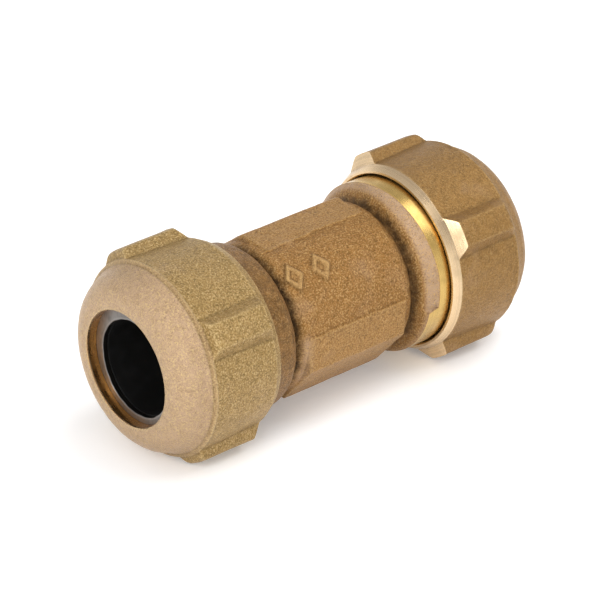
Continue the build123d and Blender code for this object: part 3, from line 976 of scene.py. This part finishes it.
class COUPLING_OT_body(bpy.types.Operator):
    """Makes the cast body with its spanner pads, turned lands, threads and bore"""

    bl_idname = "coupling.body"
    bl_label = "Body"

    def execute(self, context):
        sizes, finishes = chosen(context)
        colours = (finishes.body, finishes.skin, finishes.body_tips)
        cast = cast_bronze("body_bronze", *colours, finishes.body_grain, finishes.cast_roughness)
        lathe = (finishes.tarnish, finishes.turned_roughness)
        turned = turned_bronze("turned_body_bronze", finishes.turned_body, *lathe)
        points, finish, marks = body_points(sizes)
        piece = closed_grid("body_casting", points, finish, [cast, turned], marks)
        settle(piece, "coupling_body", "body")
        return {"FINISHED"}


class COUPLING_OT_washers(bpy.types.Operator):
    """Makes the two flat steel washers"""

    bl_idname = "coupling.washers"
    bl_label = "Washers"

    def execute(self, context):
        sizes, finishes = chosen(context)
        steel = washer_steel("plated_washer_steel", finishes.steel, 0.42)
        for side in ("right", "left"):
            points, marks = washer_points(sizes)
            piece = closed_grid(f"{side}_washer", to_side(points, side), np.zeros((1, 1)), [steel], marks)
            settle(piece, f"{side}_friction_washer", f"{side}_seal")
        return {"FINISHED"}


class COUPLING_OT_gaskets(bpy.types.Operator):
    """Makes the two tapered rubber gaskets"""

    bl_idname = "coupling.gaskets"
    bl_label = "Gaskets"

    def execute(self, context):
        sizes, finishes = chosen(context)
        rubber = gasket_rubber("black_gasket_rubber", finishes.rubber, 0.62)
        for side in ("right", "left"):
            points = to_side(gasket_points(sizes), side)
            piece = closed_grid(f"{side}_gasket_seal", points, np.zeros((1, 1)), [rubber])
            settle(piece, f"{side}_gasket", f"{side}_seal")
        return {"FINISHED"}


def soft_light(name, place, aim, size, power):
    """Square softbox at a place, facing a point."""
    data = bpy.data.lights.new(name, "AREA")
    data.shape, data.size, data.energy = "SQUARE", size, power
    light = bpy.data.objects.new(name, data)
    bpy.context.scene.collection.objects.link(light)
    light.location = place
    light.rotation_euler = (Vector(aim) - Vector(place)).to_track_quat("-Z", "Y").to_euler()


class COUPLING_OT_stage(bpy.types.Operator):
    """Makes the pale floor, the soft lights, the surrounding light and the camera"""

    bl_idname = "coupling.stage"
    bl_label = "Stage"

    def execute(self, context):
        stage = context.scene.coupling_stage
        steps = np.linspace(-3.0, 3.0, 13)
        y, x = (a.ravel() for a in np.meshgrid(steps, steps))
        corners = np.stack([x, y, np.full(x.shape, FLOOR_Z)], axis=1)
        first = (np.arange(12)[:, None] * 13 + np.arange(12)[None, :]).ravel()
        faces = np.stack([first, first + 13, first + 14, first + 1], axis=1)
        mesh = bpy.data.meshes.new("floor")
        mesh.from_pydata(corners.tolist(), [], faces.tolist())
        mesh.materials.append(floor_paper("pale_floor", stage.floor, stage.floor_glow))
        floor = bpy.data.objects.new("floor", mesh)
        context.scene.collection.objects.link(floor)

        world = bpy.data.worlds.new("soft_studio")
        context.scene.world = world
        world.use_nodes = True
        tree = world.node_tree
        tree.nodes.clear()
        way = add_node(tree, "ShaderNodeTexCoord").outputs["Generated"]
        up = add_node(tree, "ShaderNodeSeparateXYZ", {"Vector": way}).outputs["Z"]
        sky = tint(tree, spread(tree, up, 0.16, 0.60), stage.sky, stage.sky_top)
        background = add_node(tree, "ShaderNodeBackground", {"Color": sky, "Strength": 1.22})
        output = add_node(tree, "ShaderNodeOutputWorld")
        tree.links.new(background.outputs["Background"], output.inputs["Surface"])

        soft_light("key_softbox", (-0.42, -0.20, 0.30), (-0.01, 0.0, 0.0), 0.27, stage.key)
        soft_light("top_softbox", (0.24, -0.16, 0.62), (0.0, 0.0, 0.0), 0.60, stage.top)
        soft_light("left_strip", (-0.55, 0.02, 0.05), (0.0, 0.0, 0.0), 0.24, stage.left)
        soft_light("front_fill", (-0.10, -0.62, 0.14), (0.0, 0.0, 0.0), 0.40, stage.fill)

        data = bpy.data.cameras.new("camera")
        data.lens, data.sensor_width, data.clip_start, data.clip_end = stage.lens, 36.0, 0.05, 20.0
        camera = bpy.data.objects.new("camera", data)
        context.scene.collection.objects.link(camera)
        back = Vector((
            math.sin(stage.azimuth) * math.cos(stage.elevation),
            -math.cos(stage.azimuth) * math.cos(stage.elevation),
            math.sin(stage.elevation),
        ))
        camera.location = Vector(stage.target) + back * stage.distance
        camera.rotation_euler = (-back).to_track_quat("-Z", "Y").to_euler()
        context.scene.camera = camera
        context.scene.view_settings.view_transform = "Standard"
        context.scene.view_settings.look = "None"
        return {"FINISHED"}


class COUPLING_PT_sidebar(bpy.types.Panel):
    """Lists the coupling's pieces and their settings"""

    bl_idname = "COUPLING_PT_sidebar"
    bl_label = "Compression Coupling"
    bl_space_type = "VIEW_3D"
    bl_region_type = "UI"
    bl_category = "Coupling"

    def draw(self, context):
        column = self.layout.column(align=True)
        for operator in OPERATORS:
            column.operator(operator.bl_idname)
        for title, group in SETTINGS.items():
            box = self.layout.box()
            box.label(text=title)
            settings = getattr(context.scene, group)
            for key in settings.bl_rna.properties.keys():
                if key not in ("rna_type", "name"):
                    box.prop(settings, key)


OPERATORS = (COUPLING_OT_nuts, COUPLING_OT_body, COUPLING_OT_washers, COUPLING_OT_gaskets, COUPLING_OT_stage)
GROUPS = {
    "coupling_sizes": CouplingSizes, "coupling_finishes": CouplingFinishes, "coupling_stage": CouplingStage,
}
SETTINGS = {"Sizes": "coupling_sizes", "Finishes": "coupling_finishes", "Stage": "coupling_stage"}


def register():
    for cls in (*GROUPS.values(), *OPERATORS, COUPLING_PT_sidebar):
        bpy.utils.register_class(cls)
    for key, cls in GROUPS.items():
        setattr(bpy.types.Scene, key, PointerProperty(type=cls))


def unregister():
    for key in GROUPS:
        delattr(bpy.types.Scene, key)
    for cls in reversed((*GROUPS.values(), *OPERATORS, COUPLING_PT_sidebar)):
        bpy.utils.unregister_class(cls)


def main():
    """Makes every piece in order."""
    register()
    bpy.ops.coupling.nuts()
    bpy.ops.coupling.body()
    bpy.ops.coupling.washers()
    bpy.ops.coupling.gaskets()
    bpy.ops.coupling.stage()


if __name__ == "__main__":
    main()
